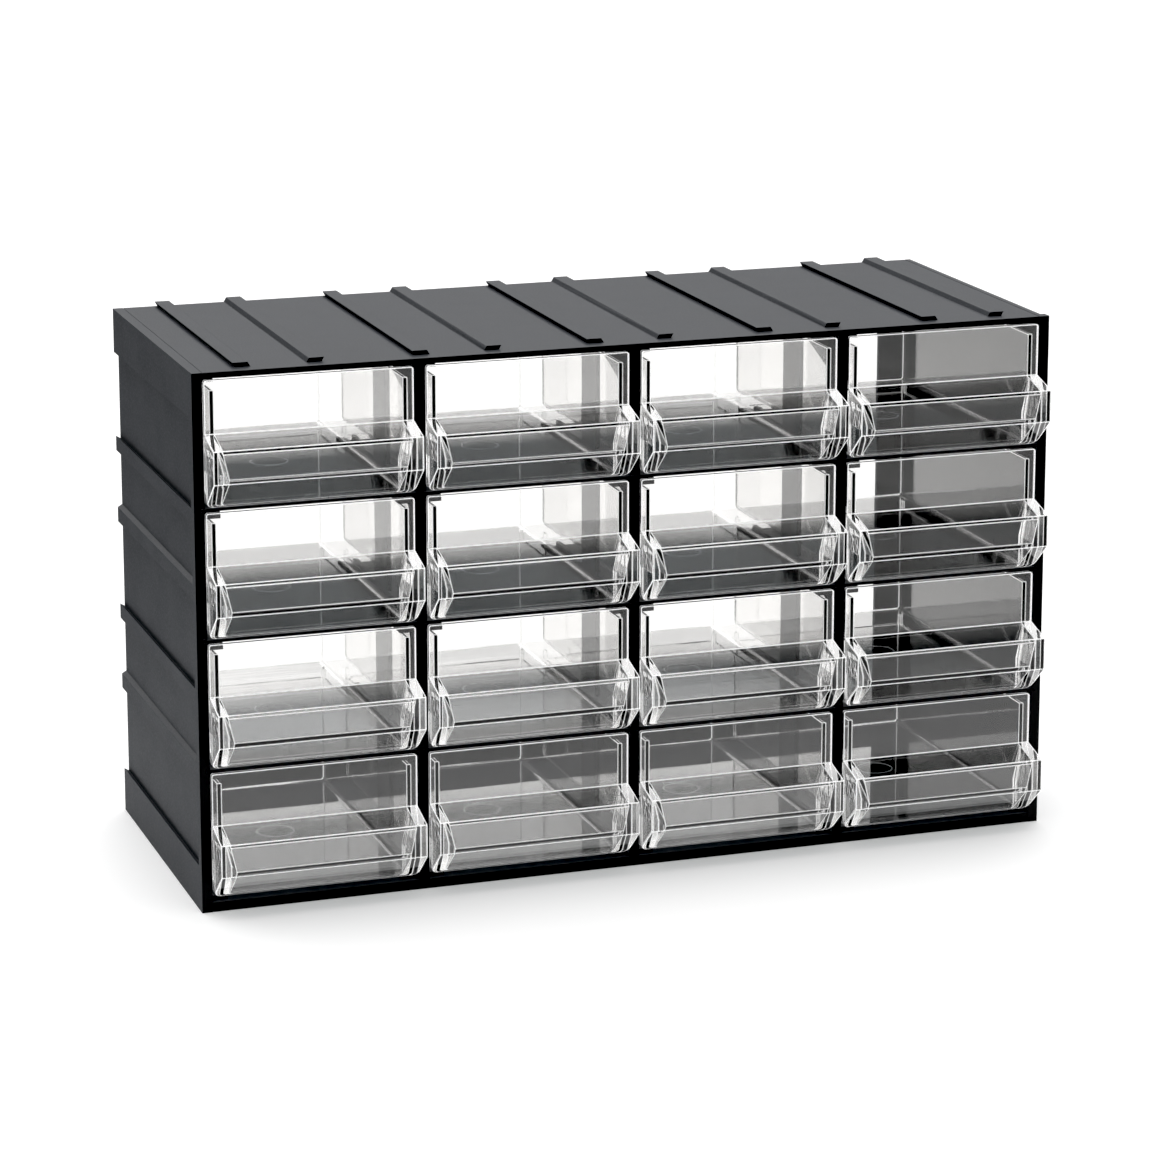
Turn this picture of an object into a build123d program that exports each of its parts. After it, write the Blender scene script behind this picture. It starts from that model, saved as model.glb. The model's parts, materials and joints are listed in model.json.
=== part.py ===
"""Modular parts organizer: an open-backed black housing that holds sixteen clear drawers.

The housing is assembled from moulded panels, column dividers and row rails. Dovetail ribs
on its outside let one housing slide onto the next. X runs across the front, +Y towards the
back and +Z up. The origin is under the middle of the whole object, at table height.
"""
from build123d import *
from math import sqrt
import os

os.makedirs("parts", exist_ok=True)

# ---------------------------------------------------------------- driving dimensions, mm

# Housing, overall
housing_width = 382.0        # over the flanges of the two side panels
housing_depth = 148.0        # front edge to back edge
housing_height = 230.0       # table to top face; the top ribs stand above it
columns = 4
rows = 4

# Panels
wall = 2.5                   # plain wall of the side and bottom panels
top_thickness = 2.6
flange_depth = 5.0           # front flange, flush with the ribs of its panel
back_return = 14.0           # how far each side panel turns inwards at the back
back_lip_height = 17.5       # upturned back edge of the bottom panel
seam_chamfer = 0.4           # along the top panel where it meets the side panels
joint_clearance = 0.1        # round every tongue and rail end
tongue_reach = 1.4           # how far a tongue enters its groove
tongue_thickness = 1.2

# Dovetail ribs
rib_height = 2.0
rib_width = 6.6
rib_lean = 1.2               # how far the tip of a rib leans outwards from its foot
pair_width = 39.0            # over the tips of one pair of ribs
rib_setback = 6.5            # the top ribs stop this far behind the front edge
pairs_across = 5
pairs_up = 3

# Column dividers
divider_web = 2.0
divider_tongue_height = 1.0  # how far a divider enters the top and bottom panels
front_post_width = 4.5
front_post_depth = 12.0
mid_post_front = 46.0
mid_post_depth = 19.0
gusset_depth = 18.0
gusset_height = 6.0
top_gusset_depth = 31.0
top_gusset_height = 11.0
curb_height = 1.5            # the web rises this far above each runner
header_height = 6.0

# Runners that carry the drawers, and the rails between rows
runner_reach = 7.0           # from the wall or front post into the cell
runner_length = 100.0        # from the front edge
runner_thickness = 1.4
tab_drop = 5.2               # front tab, down from the bottom of the drawer above it
tab_setback = 2.5            # front of the tab, behind the front edge
header_stop_drop = 1.7       # stop blocks under the top panel
header_stop_reach = 5.0
rail_depth = 4.5

# Drawers
drawer_gap = 0.3             # under a drawer, above its runners
row_gap = 2.6                # between the front plates of two rows
floor_gap = 2.3              # under the lowest row
head_gap = 0.8               # over the highest row
side_gap = 0.6               # each side of a front plate
plate_thickness = 2.0
plate_overhang = 2.6         # front plate past each side wall
drawer_wall = 1.5
drawer_floor = 1.5
back_gap = 6.0               # behind a closed drawer
side_drop = 2.0              # side walls below the front tabs
lower_corner_radius = 3.0
upper_corner_radius = 1.0
inner_corner_radius = 1.6
lug_length = 3.0
lug_clearance = 1.1          # over the rear lugs, under the runners
gate_radius = 8.0            # round recess under the middle of the floor
gate_depth = 0.5

# Pull scoop, the part of each drawer front that stands forward and is gripped
scoop_reach = 14.5
scoop_roof_height = 30.5     # where its roof meets the front plate
scoop_brow_height = 26.5     # front upper edge
scoop_sill_height = 12.5     # front lower edge
scoop_roof_thickness = 2.0
scoop_base_thickness = 2.3   # of the sloping underside
scoop_wall = 1.6             # front pane
scoop_end_wall = 4.2         # at the brow
scoop_taper = 2.4            # each end wall grows this much thicker towards the sill

# ---------------------------------------------------------------- places that follow

front_y = (scoop_reach - housing_depth) / 2
back_y = front_y + housing_depth
middle_y = front_y + housing_depth / 2
left_x = -housing_width / 2

side_thickness = wall + rib_height
bottom_thickness = wall + rib_height
top_underside = housing_height - top_thickness
inner_width = housing_width - 2 * side_thickness
clear_height = top_underside - bottom_thickness

cell_width = (inner_width - (columns - 1) * front_post_width) / columns
column_pitch = cell_width + front_post_width
plate_height = (clear_height - floor_gap - head_gap - (rows - 1) * row_gap) / rows
row_pitch = plate_height + row_gap

first_column = left_x + side_thickness + cell_width / 2
column_places = [first_column + n * column_pitch for n in range(columns)]
divider_places = [place + column_pitch / 2 for place in column_places[:-1]]
row_floors = [bottom_thickness + floor_gap + n * row_pitch for n in range(rows - 1, -1, -1)]

pitch_across = housing_width / pairs_across
pitch_up = housing_height / pairs_up
body_height = row_pitch - tab_drop - side_drop
plate_width = cell_width - 2 * side_gap
body_width = plate_width - 2 * plate_overhang
drawer_depth = housing_depth - wall - back_gap
lug_top = row_pitch - drawer_gap - runner_thickness - lug_clearance
stop_travel = drawer_depth - lug_length - front_post_depth


def rib_sections(centres, place):
    """Pairs of ribs, each leaning away from the middle of its pair.

    place turns (distance along the wall, height above it) into sketch coordinates.
    """
    tip = pair_width / 2
    for centre in centres:
        for side in (-1, 1):
            section = [
                (tip - rib_lean, 0),
                (tip, rib_height),
                (tip - rib_width, rib_height),
                (tip - rib_width - rib_lean, 0),
            ]
            corners = [place(centre + side * along, height) for along, height in section]
            Polygon(*corners, align=None)


def band_sections(length, place):
    """The half pairs at both ends of a wall, filled out to its edges."""
    tip = pair_width / 2
    for edge, inward in ((0, 1), (length, -1)):
        section = [(0, 0), (0, rib_height), (tip, rib_height), (tip - rib_lean, 0)]
        corners = [place(edge + inward * along, height) for along, height in section]
        Polygon(*corners, align=None)


def runner_profile(floor):
    """Side view of one runner, its front tab under the row rail included."""
    top = floor - drawer_gap
    underside = top - runner_thickness
    behind_rail = front_y + rail_depth + joint_clearance
    Polygon(
        (front_y + tab_setback, floor - tab_drop),
        (front_y + front_post_depth, floor - tab_drop),
        (front_y + front_post_depth, underside),
        (front_y + runner_length, underside),
        (front_y + runner_length, top),
        (behind_rail, top),
        (behind_rail, underside),
        (front_y + tab_setback, underside),
        align=None,
    )


def sill_profile():
    """Side view of the strip on the bottom panel that carries the lowest drawers."""
    length = runner_length - tab_setback
    height = row_floors[-1] - drawer_gap - bottom_thickness
    with Locations((front_y + tab_setback + length / 2, bottom_thickness + height / 2)):
        Rectangle(length, height)


def header_stop_profile():
    """Side view of the block under the top panel that stops a top drawer from falling out."""
    length = front_post_depth - tab_setback
    with Locations((front_y + tab_setback + length / 2, top_underside - header_stop_drop / 2)):
        Rectangle(length, header_stop_drop)


def drawer_runners():
    """Side view of everything that carries the drawers of one column."""
    for floor in row_floors[:-1]:
        runner_profile(floor)
    sill_profile()


def rail_box(width):
    """Boxes round each row rail, in the part that is open, cut out with clearance on top."""
    slot_height = runner_thickness + joint_clearance
    slot_depth = rail_depth + joint_clearance
    for floor in row_floors[:-1]:
        underside = floor - drawer_gap - runner_thickness
        with Locations((0, front_y + slot_depth / 2, underside + slot_height / 2)):
            Box(width, slot_depth, slot_height, mode=Mode.SUBTRACT)


# ---------------------------------------------------------------- side panels

groove_height = tongue_thickness + 2 * joint_clearance
top_tongue_z = housing_height - top_thickness / 2
bottom_tongue_z = bottom_thickness - wall / 2


def side_panel_solid(outward):
    """One side panel: outward is -1 for the left panel and 1 for the right one."""
    outer = outward * housing_width / 2
    wall_face = outer - outward * rib_height
    inner = outer - outward * side_thickness
    ribs_length = housing_depth - flange_depth
    with BuildPart() as panel:
        with BuildSketch(Plane.YZ.offset(inner)):
            with Locations((middle_y, housing_height / 2)):
                Rectangle(housing_depth, housing_height)
        extrude(amount=outward * wall)
        with BuildSketch(Plane.YZ.offset(wall_face)):
            with Locations((front_y + flange_depth / 2, housing_height / 2)):
                Rectangle(flange_depth, housing_height)
        extrude(amount=outward * rib_height)
        with BuildSketch(Plane.XZ.offset(-back_y)):
            if outward < 0:
                centres = [n * pitch_up for n in range(1, pairs_up)]
                band_sections(housing_height, lambda along, out: (wall_face + outward * out, along))
            else:
                centres = [(n + 0.5) * pitch_up for n in range(pairs_up)]
            rib_sections(centres, lambda along, out: (wall_face + outward * out, along))
        extrude(amount=ribs_length)
        with BuildSketch(Plane.YZ.offset(inner)):
            drawer_runners()
        extrude(amount=-outward * runner_reach)
        with BuildSketch(Plane.YZ.offset(inner)):
            header_stop_profile()
        extrude(amount=-outward * header_stop_reach)
        with BuildSketch(Plane.YZ.offset(inner)):
            with Locations((back_y - wall / 2, bottom_thickness + clear_height / 2)):
                Rectangle(wall, clear_height)
        extrude(amount=-outward * back_return)
        groove_reach = tongue_reach + joint_clearance
        groove_x = inner + outward * groove_reach / 2
        for groove_z in (top_tongue_z, bottom_tongue_z):
            with Locations((groove_x, middle_y, groove_z)):
                Box(groove_reach, housing_depth - 2 * flange_depth, groove_height, mode=Mode.SUBTRACT)
        rail_box(inner_width + 2 * groove_reach)
    return panel


left_side_panel = side_panel_solid(-1)
left_side_panel.part.label = "left_side_panel"
export_step(left_side_panel.part, "parts/left_side_panel.step")

right_side_panel = side_panel_solid(1)
right_side_panel.part.label = "right_side_panel"
export_step(right_side_panel.part, "parts/right_side_panel.step")

# ---------------------------------------------------------------- top and bottom panels

tongue_length = housing_depth - 2 * flange_depth - 2 * joint_clearance
divider_groove_length = runner_length - 2 * front_post_depth
divider_groove_y = front_y + runner_length / 2
divider_groove_width = tongue_thickness + 2 * joint_clearance
divider_groove_depth = divider_tongue_height + joint_clearance

with BuildPart() as top_panel:
    with BuildSketch(Plane.XY.offset(top_underside)):
        with Locations((0, middle_y)):
            Rectangle(inner_width, housing_depth)
    extrude(amount=top_thickness)
    end_edges = faces().sort_by(Axis.Z)[-1].edges().filter_by(Axis.Y)
    chamfer(end_edges, seam_chamfer)
    with Locations((0, middle_y, top_tongue_z)):
        Box(inner_width + 2 * tongue_reach, tongue_length, tongue_thickness)
    with BuildSketch(Plane.XZ.offset(-back_y)):
        top_centres = [left_x + (n + 0.5) * pitch_across for n in range(pairs_across)]
        rib_sections(top_centres, lambda along, out: (along, housing_height + out))
    extrude(amount=housing_depth - rib_setback)
    groove_z = top_underside + divider_groove_depth / 2
    with Locations(*[(x, divider_groove_y, groove_z) for x in divider_places]):
        Box(divider_groove_width, divider_groove_length, divider_groove_depth, mode=Mode.SUBTRACT)
top_panel.part.label = "top_panel"
export_step(top_panel.part, "parts/top_panel.step")

with BuildPart() as bottom_panel:
    with BuildSketch(Plane.XY.offset(rib_height)):
        with Locations((0, middle_y)):
            Rectangle(inner_width, housing_depth)
    extrude(amount=wall)
    with Locations((0, middle_y, bottom_tongue_z)):
        Box(inner_width + 2 * tongue_reach, tongue_length, tongue_thickness)
    with BuildSketch(Plane.XY):
        with Locations((0, front_y + flange_depth / 2)):
            Rectangle(inner_width, flange_depth)
    extrude(amount=rib_height)
    with BuildSketch(Plane.XZ.offset(-back_y)):
        bottom_centres = [left_x + n * pitch_across for n in range(1, pairs_across)]
        rib_sections(bottom_centres, lambda along, out: (along, rib_height - out))
    extrude(amount=housing_depth - flange_depth)
    with BuildSketch(Plane.XZ.offset(-back_y)):
        with Locations((0, bottom_thickness + back_lip_height / 2)):
            Rectangle(inner_width - 2 * back_return, back_lip_height)
    extrude(amount=wall)
    groove_z = bottom_thickness - divider_groove_depth / 2
    with Locations(*[(x, divider_groove_y, groove_z) for x in divider_places]):
        Box(divider_groove_width, divider_groove_length, divider_groove_depth, mode=Mode.SUBTRACT)
bottom_panel.part.label = "bottom_panel"
export_step(bottom_panel.part, "parts/bottom_panel.step")

# ---------------------------------------------------------------- column dividers

front_post_back = front_y + front_post_depth
mid_post_back_face = front_y + mid_post_front + mid_post_depth
runner_end = front_y + runner_length


def front_window(sill, head, corner_depth, corner_height):
    """Opening between the front post and the middle post, its upper front corner filled."""
    Polygon(
        (front_post_back, sill),
        (front_y + mid_post_front, sill),
        (front_y + mid_post_front, head),
        (front_post_back + corner_depth, head),
        (front_post_back, head - corner_height),
        align=None,
    )


def rear_window(sill, head):
    """Opening behind the middle post, out to the end of the runners."""
    Polygon(
        (mid_post_back_face, sill),
        (runner_end, sill),
        (runner_end, head),
        (mid_post_back_face, head),
        align=None,
    )


def divider_windows():
    """All the openings of one divider, row by row from the top."""
    for row, floor in enumerate(row_floors):
        sill = floor + curb_height
        if row == 0:
            head = top_underside - header_height
            front_window(sill, head, top_gusset_depth, top_gusset_height)
        else:
            head = row_floors[row - 1] - tab_drop
            front_window(sill, head, gusset_depth, gusset_height)
        rear_window(sill, head)


with BuildPart() as divider:
    with BuildSketch(Plane.YZ.offset(-divider_web / 2)):
        with Locations((front_y + runner_length / 2, bottom_thickness + clear_height / 2)):
            Rectangle(runner_length, clear_height)
    extrude(amount=divider_web)
    with BuildSketch(Plane.YZ.offset(-divider_web / 2)):
        divider_windows()
    extrude(amount=divider_web, mode=Mode.SUBTRACT)
    with BuildSketch(Plane.XY.offset(bottom_thickness)):
        with Locations((0, front_y + front_post_depth / 2)):
            Rectangle(front_post_width, front_post_depth)
    extrude(amount=clear_height)
    with BuildSketch(Plane.YZ.offset(-(front_post_width / 2 + runner_reach))):
        drawer_runners()
    extrude(amount=front_post_width + 2 * runner_reach)
    with BuildSketch(Plane.YZ.offset(-(front_post_width / 2 + header_stop_reach))):
        header_stop_profile()
    extrude(amount=front_post_width + 2 * header_stop_reach)
    divider_tongue_length = divider_groove_length - 2 * joint_clearance
    half_tongue = divider_tongue_height / 2
    for tongue_z in (top_underside + half_tongue, bottom_thickness - half_tongue):
        with Locations((0, divider_groove_y, tongue_z)):
            Box(tongue_thickness, divider_tongue_length, divider_tongue_height)
    rail_box(front_post_width + 2 * runner_reach)

for number, place in enumerate(divider_places, start=1):
    placed_divider = Pos(place, 0, 0) * divider.part
    placed_divider.label = f"column_divider_{number}"
    export_step(placed_divider, f"parts/column_divider_{number}.step")

# ---------------------------------------------------------------- row rails

for number, floor in enumerate(row_floors[:-1], start=1):
    with BuildPart() as row_rail:
        with BuildSketch(Plane.XY.offset(floor - drawer_gap - runner_thickness)):
            with Locations((0, front_y + rail_depth / 2)):
                Rectangle(inner_width + 2 * tongue_reach, rail_depth)
        extrude(amount=runner_thickness)
    row_rail.part.label = f"row_rail_{number}"
    export_step(row_rail.part, f"parts/row_rail_{number}.step")

# ---------------------------------------------------------------- drawers

scoop_front = front_y - scoop_reach
plate_back = front_y + plate_thickness
roof_slope = (scoop_roof_height - scoop_brow_height) / scoop_reach
sill_slope = scoop_sill_height / scoop_reach
roof_drop = scoop_roof_thickness * sqrt(1 + roof_slope**2)
sill_rise = scoop_base_thickness * sqrt(1 + sill_slope**2)
hollow_front = scoop_front + scoop_wall
hollow_half_width = plate_width / 2 - scoop_end_wall
hollow_brow = scoop_roof_height - roof_slope * (front_y - hollow_front) - roof_drop
hollow_sill = sill_slope * (front_y - hollow_front) + sill_rise

def box_profile(width, floor):
    """Front view of a box with a flat floor, taller than the drawer."""
    with Locations((0, floor + plate_height / 2)):
        Rectangle(width, plate_height)


# The scoop from outside
with BuildPart() as scoop:
    with BuildSketch(Plane.YZ.offset(-plate_width / 2)):
        Polygon(
            (front_y, scoop_roof_height),
            (scoop_front, scoop_brow_height),
            (scoop_front, scoop_sill_height),
            (front_y, 0),
            align=None,
        )
    extrude(amount=plate_width)
    with BuildSketch(Plane.XZ.offset(-front_y)):
        box_profile(plate_width, 0)
        fillet(vertices().group_by(Axis.Y)[0], lower_corner_radius)
    extrude(amount=scoop_reach, mode=Mode.INTERSECT)

# The hollow of the scoop. It opens into the drawer, and its end walls thicken towards the sill.
with BuildPart() as scoop_hollow:
    with BuildSketch(Plane.YZ.offset(-hollow_half_width)):
        Polygon(
            (plate_back, scoop_roof_height + roof_slope * plate_thickness - roof_drop),
            (hollow_front, hollow_brow),
            (hollow_front, hollow_sill),
            (plate_back, sill_rise - sill_slope * plate_thickness),
            align=None,
        )
    extrude(amount=2 * hollow_half_width)
    with BuildSketch(Plane.XZ.offset(-plate_back)):
        Polygon(
            (-hollow_half_width, scoop_roof_height),
            (hollow_half_width, scoop_roof_height),
            (hollow_half_width, hollow_brow),
            (hollow_half_width - scoop_taper, hollow_sill),
            (hollow_half_width - scoop_taper, drawer_floor),
            (-hollow_half_width + scoop_taper, drawer_floor),
            (-hollow_half_width + scoop_taper, hollow_sill),
            (-hollow_half_width, hollow_brow),
            align=None,
        )
        fillet(vertices().group_by(Axis.Y)[0], inner_corner_radius)
    extrude(amount=scoop_reach + plate_thickness, mode=Mode.INTERSECT)

with BuildPart() as drawer:
    # Box behind the front plate
    with BuildSketch(Plane.XZ.offset(-front_y)):
        with Locations((0, body_height / 2)):
            Rectangle(body_width, body_height)
        fillet(vertices().group_by(Axis.Y)[0], lower_corner_radius)
    extrude(amount=-drawer_depth)
    # Front plate
    with BuildSketch(Plane.XZ.offset(-front_y)):
        box_profile(plate_width, 0)
        fillet(vertices().group_by(Axis.Y)[0], lower_corner_radius)
        fillet(vertices().group_by(Axis.Y)[-1], upper_corner_radius)
    extrude(amount=-plate_thickness)
    # Inside of the box
    with BuildSketch(Plane.XZ.offset(-plate_back)):
        box_profile(body_width - 2 * drawer_wall, drawer_floor)
        fillet(vertices().group_by(Axis.Y)[0], inner_corner_radius)
    extrude(amount=-(drawer_depth - plate_thickness - drawer_wall), mode=Mode.SUBTRACT)
    # Round recess left by the moulding gate
    with BuildSketch(Plane.XY):
        with Locations((0, front_y + drawer_depth / 2)):
            Circle(gate_radius)
    extrude(amount=gate_depth, mode=Mode.SUBTRACT)
    # Stop lugs on the rear ends of the side walls
    lug_rise = lug_top - body_height + drawer_wall
    for side in (-1, 1):
        with BuildSketch(Plane.YZ.offset(side * body_width / 2)):
            with Locations((front_y + drawer_depth - lug_length / 2, lug_top - lug_rise / 2)):
                Rectangle(lug_length, lug_rise)
        extrude(amount=-side * drawer_wall)
    add(scoop.part)
    add(scoop_hollow.part, mode=Mode.SUBTRACT)

for row, floor in enumerate(row_floors, start=1):
    for column, place in enumerate(column_places, start=1):
        placed_drawer = Pos(place, 0, floor) * drawer.part
        placed_drawer.label = f"drawer_r{row}_c{column}"
        export_step(placed_drawer, f"parts/drawer_r{row}_c{column}.step")

print(f"plate height {plate_height:.2f}, row pitch {row_pitch:.2f}, column pitch {column_pitch:.2f}")
print(f"drawer travel to the stops {stop_travel:.2f}")
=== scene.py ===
"""Studio picture of the parts organizer: its housing, its clear drawers, a pale floor and soft light."""
import json
import math

import bpy
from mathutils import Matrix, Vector


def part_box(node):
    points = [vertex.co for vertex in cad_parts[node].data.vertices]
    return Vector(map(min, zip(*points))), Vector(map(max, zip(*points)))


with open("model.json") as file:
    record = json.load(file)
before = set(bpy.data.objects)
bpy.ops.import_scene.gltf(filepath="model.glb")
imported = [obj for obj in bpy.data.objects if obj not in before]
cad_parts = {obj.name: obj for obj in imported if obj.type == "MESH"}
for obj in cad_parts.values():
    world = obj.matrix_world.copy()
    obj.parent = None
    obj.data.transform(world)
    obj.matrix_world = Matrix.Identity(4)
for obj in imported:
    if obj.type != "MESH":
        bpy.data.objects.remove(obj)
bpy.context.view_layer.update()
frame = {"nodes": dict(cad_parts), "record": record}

MM = 0.001
scene = bpy.context.scene
nodes = frame["nodes"]
housing_nodes = frame["record"]["behaviour"]["bodies"]["housing"]
drawer_nodes = [name for name in nodes if name not in housing_nodes]


# ---------------------------------------------------------------- camera

CAMERA_YAW = 18.85           # degrees, turned to the right from looking along +Y
CAMERA_PITCH = -12.3         # degrees, looking down
CAMERA_LENS = 123.5          # mm on a 36 mm sensor
CAMERA_SHIFT = -0.15
CAMERA_FROM_CORNER = Vector((-0.3630, -1.5570, 0.5620))   # from the lower left front corner


def add_camera():
    """Camera in front, to the left and a little above, so the front, the top and the left side show."""
    left_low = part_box("left_side_panel")[0]
    data = bpy.data.cameras.new("camera")
    data.sensor_width = 36.0
    data.lens = CAMERA_LENS
    data.shift_y = CAMERA_SHIFT
    camera = bpy.data.objects.new("camera", data)
    scene.collection.objects.link(camera)
    camera.location = left_low + CAMERA_FROM_CORNER
    camera.rotation_euler = (math.radians(90 + CAMERA_PITCH), 0, math.radians(-CAMERA_YAW))
    scene.camera = camera


# ---------------------------------------------------------------- materials

# Housing
HOUSING_BLACK = (0.034, 0.037, 0.043)
WORN_BLACK = (0.050, 0.054, 0.061)
SPECKLE = (0.075, 0.080, 0.088)
# painted shade: faces that look to the front are coloured near black, for the shade that falls on the
# front
FRONT_PAINTED_SHADE = (0.0025, 0.0025, 0.003)
SIDE_ROUGHNESS = 0.68
TOP_ROUGHNESS = (0.38, 0.5)
HOUSING_IOR = 1.36
FACES_FRONT = (-0.4, -0.8)   # Y of a normal that starts to face the front, and does: where the painted shade sets in
FACES_UP = (0.4, 0.8)        # Z of a normal that starts to face up, and does
GRAIN_SCALE = 1500           # of the spark texture
MOTTLE_SCALE = 38
EDGE_WIDTH = 0.3 * MM        # of the rounding on its edges
SHARP_ANGLE = 35             # degrees, edges sharper than this are rounded
WELD_DISTANCE = 0.002 * MM

# Drawers
CLEAR = (0.955, 0.951, 0.945)
# painted highlight: a white base colour on the edges of the drawers
EDGE_PAINTED_HIGHLIGHT = (0.93, 0.94, 0.945)
CLEAR_SHADOW = (0.93, 0.935, 0.935)
CLEAR_ROUGHNESS = (0.0, 0.05)
CLEAR_IOR = 1.59
CLEAR_EDGE_RADIUS = 0.8 * MM
EDGE_TURN = (0.998, 0.97)    # cosine of the rounding's turn at which an edge starts, and is full
EDGE_CLEARNESS = 0.3         # how much of a painted edge highlight still shows what lies behind
EDGE_PAINTED_GLOW = 0.8              # painted glow: emission on the edges, for the light that the plastic pipes to them
FLOOR_PAINTED_SHADE = (0.05, 0.06, 0.065)   # painted shade: drawer floors tinted dark, for the shade inside the housing seen through them
SHADE_FADE = (0.0, 0.045)      # where that painted shade starts to fade towards the back, and ends, m
LEVEL = (0.975, 0.99)        # Z of a normal that starts to count as level, and does
FLOW_STRETCH = (6, 40, 260)  # waviness per metre, along each axis
SMUDGE_SCALE = 45

BUMP_DEPTH = 0.05 * MM       # of the grain and the flow lines


def new_material(name):
    """An empty node material and its Principled shader, already joined to the output."""
    material = bpy.data.materials.new(name)
    material.use_nodes = True
    material.cycles.emission_sampling = "NONE"
    tree = material.node_tree
    tree.nodes.clear()
    output = tree.nodes.new("ShaderNodeOutputMaterial")
    shader = tree.nodes.new("ShaderNodeBsdfPrincipled")
    tree.links.new(shader.outputs["BSDF"], output.inputs["Surface"])
    return material, tree, shader, output


def noise(tree, coordinates, scale, detail, roughness=0.55):
    """A noise texture on object coordinates."""
    node = tree.nodes.new("ShaderNodeTexNoise")
    node.inputs["Scale"].default_value = scale
    node.inputs["Detail"].default_value = detail
    node.inputs["Roughness"].default_value = roughness
    tree.links.new(coordinates, node.inputs["Vector"])
    return node.outputs["Fac"]


def ramp(tree, value, start, start_colour, end, end_colour):
    """A blend between two colours as value goes from start to end."""
    node = tree.nodes.new("ShaderNodeValToRGB")
    first, last = node.color_ramp.elements
    first.position = start
    first.color = (*start_colour, 1)
    last.position = end
    last.color = (*end_colour, 1)
    tree.links.new(value, node.inputs["Fac"])
    return node.outputs["Color"]


def map_range(tree, value, low, high, start=0.0, end=1.0):
    """value from start..end mapped to low..high."""
    node = tree.nodes.new("ShaderNodeMapRange")
    node.inputs["From Min"].default_value = start
    node.inputs["From Max"].default_value = end
    node.inputs["To Min"].default_value = low
    node.inputs["To Max"].default_value = high
    tree.links.new(value, node.inputs["Value"])
    return node.outputs["Result"]


def component(tree, vector, axis):
    """The part of a vector along an axis."""
    node = tree.nodes.new("ShaderNodeSeparateXYZ")
    tree.links.new(vector, node.inputs["Vector"])
    return node.outputs[axis]


def mix_colours(tree, factor, first, second):
    """A colour mix. Each colour is a socket or a fixed colour."""
    node = tree.nodes.new("ShaderNodeMix")
    node.data_type = "RGBA"
    tree.links.new(factor, node.inputs["Factor"])
    for colour, name in ((first, "A"), (second, "B")):
        if isinstance(colour, tuple):
            node.inputs[name].default_value = (*colour, 1)
        else:
            tree.links.new(colour, node.inputs[name])
    return node.outputs["Result"]


def absolute(tree, value):
    """A value without its sign."""
    node = tree.nodes.new("ShaderNodeMath")
    node.operation = "ABSOLUTE"
    tree.links.new(value, node.inputs[0])
    return node.outputs["Value"]


def multiply(tree, first, second):
    """The product of two values."""
    node = tree.nodes.new("ShaderNodeMath")
    node.operation = "MULTIPLY"
    tree.links.new(first, node.inputs[0])
    tree.links.new(second, node.inputs[1])
    return node.outputs["Value"]


def bump(tree, height, strength, normal=None):
    """A bump, on a given normal or on the surface's own."""
    node = tree.nodes.new("ShaderNodeBump")
    node.inputs["Strength"].default_value = strength
    node.inputs["Distance"].default_value = BUMP_DEPTH
    tree.links.new(height, node.inputs["Height"])
    if normal is not None:
        tree.links.new(normal, node.inputs["Normal"])
    return node.outputs["Normal"]


def housing_plastic():
    """Black polystyrene, spark textured outside, duller on its sides, with painted shade on its front
    faces.
    """
    material, tree, shader, _ = new_material("housing_plastic")
    coordinates = tree.nodes.new("ShaderNodeTexCoord")
    place = coordinates.outputs["Object"]
    normal = coordinates.outputs["Normal"]
    grain = noise(tree, place, GRAIN_SCALE, 2)
    mottle = noise(tree, place, MOTTLE_SCALE, 4)
    front_shade = map_range(tree, component(tree, normal, "Y"), 0, 1, *FACES_FRONT)
    top = map_range(tree, component(tree, normal, "Z"), 0, 1, *FACES_UP)

    patches = ramp(tree, mottle, 0.3, HOUSING_BLACK, 0.75, WORN_BLACK)
    speckled = mix_colours(tree, map_range(tree, grain, 0, 1, 0.45, 0.75), patches, SPECKLE)
    # painted shade: front-facing faces are blended to near black
    tree.links.new(mix_colours(tree, front_shade, speckled, FRONT_PAINTED_SHADE), shader.inputs["Base Color"])

    finish = tree.nodes.new("ShaderNodeMix")
    finish.inputs["A"].default_value = SIDE_ROUGHNESS
    tree.links.new(top, finish.inputs["Factor"])
    tree.links.new(map_range(tree, mottle, *TOP_ROUGHNESS), finish.inputs["B"])
    tree.links.new(finish.outputs["Result"], shader.inputs["Roughness"])
    tree.links.new(bump(tree, grain, 0.5), shader.inputs["Normal"])
    shader.inputs["IOR"].default_value = HOUSING_IOR
    return material


def lit_through(tree, shader, output):
    """Lets lamps shine through a clear surface, so what lies behind it is lit."""
    clear = tree.nodes.new("ShaderNodeBsdfTransparent")
    clear.inputs["Color"].default_value = (*CLEAR_SHADOW, 1)
    path = tree.nodes.new("ShaderNodeLightPath")
    choose = tree.nodes.new("ShaderNodeMixShader")
    tree.links.new(path.outputs["Is Shadow Ray"], choose.inputs["Fac"])
    tree.links.new(shader.outputs["BSDF"], choose.inputs[1])
    tree.links.new(clear.outputs["BSDF"], choose.inputs[2])
    tree.links.new(choose.outputs["Shader"], output.inputs["Surface"])


def rounded_edges(tree):
    """A normal that rounds a piece's sharp edges, and a mask of 1 on those edges and 0 away from them,
    which carries the painted edge highlight and glow.
    """
    rounded = tree.nodes.new("ShaderNodeBevel")
    rounded.samples = 6
    rounded.inputs["Radius"].default_value = CLEAR_EDGE_RADIUS
    turn = tree.nodes.new("ShaderNodeVectorMath")
    turn.operation = "DOT_PRODUCT"
    tree.links.new(rounded.outputs["Normal"], turn.inputs[0])
    tree.links.new(tree.nodes.new("ShaderNodeNewGeometry").outputs["Normal"], turn.inputs[1])
    painted_edge_mask = map_range(tree, absolute(tree, turn.outputs["Value"]), 0, 1, *EDGE_TURN)
    return rounded.outputs["Normal"], painted_edge_mask


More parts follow.
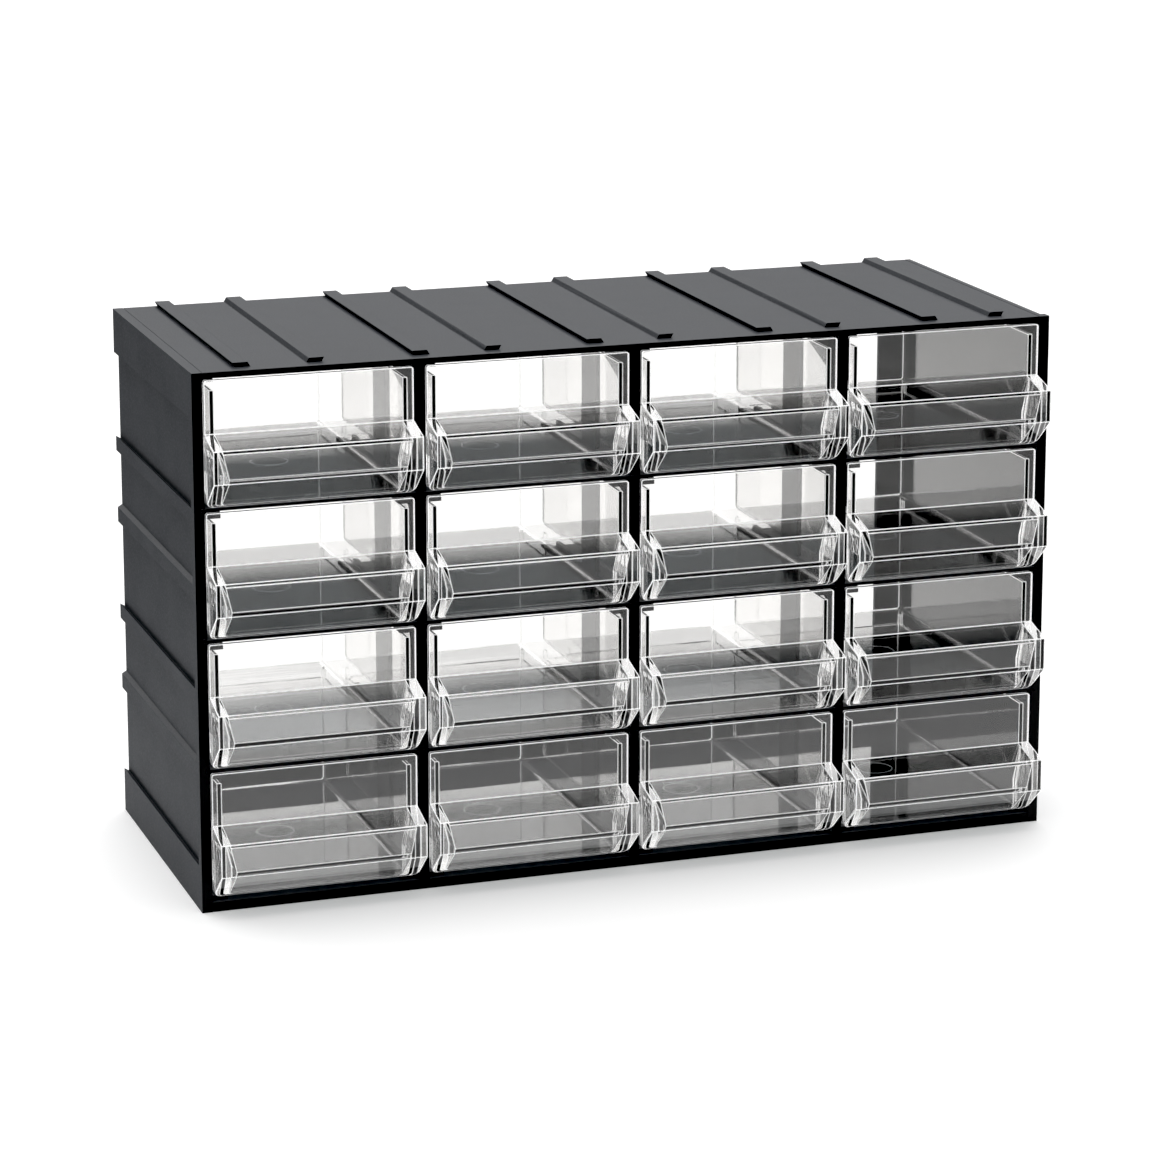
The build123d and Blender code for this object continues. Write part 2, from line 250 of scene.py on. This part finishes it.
def clear_plastic():
    """Crystal polystyrene: clear, with painted shade on the front of its floors, a painted highlight and
    glow on its edges, flow lines and smudges.
    """
    material, tree, shader, output = new_material("clear_drawer_plastic")
    rounded, painted_edge_mask = rounded_edges(tree)
    coordinates = tree.nodes.new("ShaderNodeTexCoord")
    place = coordinates.outputs["Object"]

    upright = absolute(tree, component(tree, coordinates.outputs["Normal"], "Z"))
    level = map_range(tree, upright, 0, 1, *LEVEL)
    shade_reach = map_range(tree, component(tree, place, "Y"), 1, 0, *SHADE_FADE)
    # painted shade: level faces near the front of a drawer are tinted dark
    clear_and_shade = mix_colours(tree, multiply(tree, level, shade_reach), CLEAR, FLOOR_PAINTED_SHADE)
    # painted highlight: edges turn white and less clear
    tree.links.new(mix_colours(tree, painted_edge_mask, clear_and_shade, EDGE_PAINTED_HIGHLIGHT), shader.inputs["Base Color"])
    tree.links.new(map_range(tree, painted_edge_mask, 1.0, EDGE_CLEARNESS), shader.inputs["Transmission Weight"])
    # painted glow: the edges emit light though they are no lamp
    tree.links.new(map_range(tree, painted_edge_mask, 0, EDGE_PAINTED_GLOW), shader.inputs["Emission Strength"])
    shader.inputs["Emission Color"].default_value = WHITE
    shader.inputs["IOR"].default_value = CLEAR_IOR

    stretch = tree.nodes.new("ShaderNodeMapping")
    stretch.inputs["Scale"].default_value = FLOW_STRETCH
    tree.links.new(place, stretch.inputs["Vector"])
    flow = noise(tree, stretch.outputs["Vector"], 1, 3)
    tree.links.new(bump(tree, flow, 0.25, rounded), shader.inputs["Normal"])
    smudges = noise(tree, place, SMUDGE_SCALE, 5)
    tree.links.new(map_range(tree, smudges, *CLEAR_ROUGHNESS, 0.45, 0.8), shader.inputs["Roughness"])
    lit_through(tree, shader, output)
    return material


def round_edges(piece):
    """Welds the mesh and rounds its sharp edges a little, as a mould does."""
    weld = piece.modifiers.new("weld", "WELD")
    weld.merge_threshold = WELD_DISTANCE
    bevel = piece.modifiers.new("rounded_edges", "BEVEL")
    bevel.width = EDGE_WIDTH
    bevel.segments = 2
    bevel.limit_method = "ANGLE"
    bevel.angle_limit = math.radians(SHARP_ANGLE)
    bevel.harden_normals = True


def dress(names, material):
    """Gives CAD nodes their material."""
    for name in names:
        nodes[name].data.materials.clear()
        nodes[name].data.materials.append(material)


# ---------------------------------------------------------------- floor and light

BLACK_LEVEL = 0.012          # the darkest tones print as black, as in a catalogue
SCREEN_BRIGHT = 1.6
SCREEN_DIM = 0.04            # beside and in front of the object
SCREEN_SIDES = (0.2, 0.75)   # Y of the directions in which it starts to brighten, and is bright
SCREEN_FOOT = (0.272, 0.286)   # the same for Z
FOOT_SHARE = 0.04            # of its light that is left below its foot
FLOOR_COLOUR = (0.92, 0.92, 0.92)
FLOOR_RADIUS = 12            # m
FLOOR_GLOW = 0.22            # a light table, so that shadows stay faint
FLOOR_MIRRORED = (0.2, 0.42)   # how far off in Y its reflections start to fade, and end, m
SUN_STRENGTH = 2.65
SUN_ANGLE = 36               # degrees across, so its shadows are soft
CLEAR_BOUNCES = 32           # light crosses many walls of the drawers
BLACK = (0.0, 0.0, 0.0)
WHITE = (1, 1, 1, 1)


def add_floor():
    """Pale floor, wide enough to reach out of every view. Only its nearest part mirrors in the plastic."""
    bpy.ops.mesh.primitive_circle_add(vertices=96, radius=FLOOR_RADIUS, fill_type="NGON")
    floor = bpy.context.object
    floor.name = "floor"
    material, tree, shader, _ = new_material("pale_floor")
    place = tree.nodes.new("ShaderNodeTexCoord").outputs["Object"]
    far = map_range(tree, absolute(tree, component(tree, place, "Y")), 0, 1, *FLOOR_MIRRORED)
    path = tree.nodes.new("ShaderNodeLightPath")
    mirrored = multiply(tree, path.outputs["Is Glossy Ray"], path.outputs["Is Reflection Ray"])
    colour = mix_colours(tree, multiply(tree, mirrored, far), FLOOR_COLOUR, BLACK)
    tree.links.new(colour, shader.inputs["Base Color"])
    shader.inputs["Roughness"].default_value = 0.9
    shader.inputs["Specular IOR Level"].default_value = 0.1
    shader.inputs["Emission Color"].default_value = WHITE
    shader.inputs["Emission Strength"].default_value = FLOOR_GLOW
    floor.data.materials.append(material)


def add_sun():
    """Even light from straight above, as from a ceiling of softboxes."""
    data = bpy.data.lights.new("ceiling", "SUN")
    data.energy = SUN_STRENGTH
    data.angle = math.radians(SUN_ANGLE)
    lamp = bpy.data.objects.new("ceiling", data)
    scene.collection.objects.link(lamp)


def add_world():
    """A tall white screen behind the object, dim low down and in front, so that clear edges draw lines."""
    world = bpy.data.worlds.new("studio")
    world.use_nodes = True
    scene.world = world
    tree = world.node_tree
    background = tree.nodes["Background"]
    direction = tree.nodes.new("ShaderNodeTexCoord").outputs["Generated"]
    behind = map_range(tree, component(tree, direction, "Y"), SCREEN_DIM, SCREEN_BRIGHT, *SCREEN_SIDES)
    raised = map_range(tree, component(tree, direction, "Z"), FOOT_SHARE, 1.0, *SCREEN_FOOT)
    tree.links.new(multiply(tree, behind, raised), background.inputs["Strength"])
    background.inputs["Color"].default_value = WHITE


# ---------------------------------------------------------------- the scene

scene.view_settings.view_transform = "Standard"
scene.view_settings.use_curve_mapping = True
tone = scene.view_settings.curve_mapping
tone.black_level = (BLACK_LEVEL, BLACK_LEVEL, BLACK_LEVEL)
tone.update()
scene.cycles.max_bounces = CLEAR_BOUNCES
scene.cycles.transmission_bounces = CLEAR_BOUNCES
scene.cycles.transparent_max_bounces = 48
scene.cycles.caustics_reflective = False
scene.cycles.caustics_refractive = False

add_camera()
dress(housing_nodes, housing_plastic())
for name in housing_nodes:
    round_edges(nodes[name])
dress(drawer_nodes, clear_plastic())
add_floor()
add_world()
add_sun()
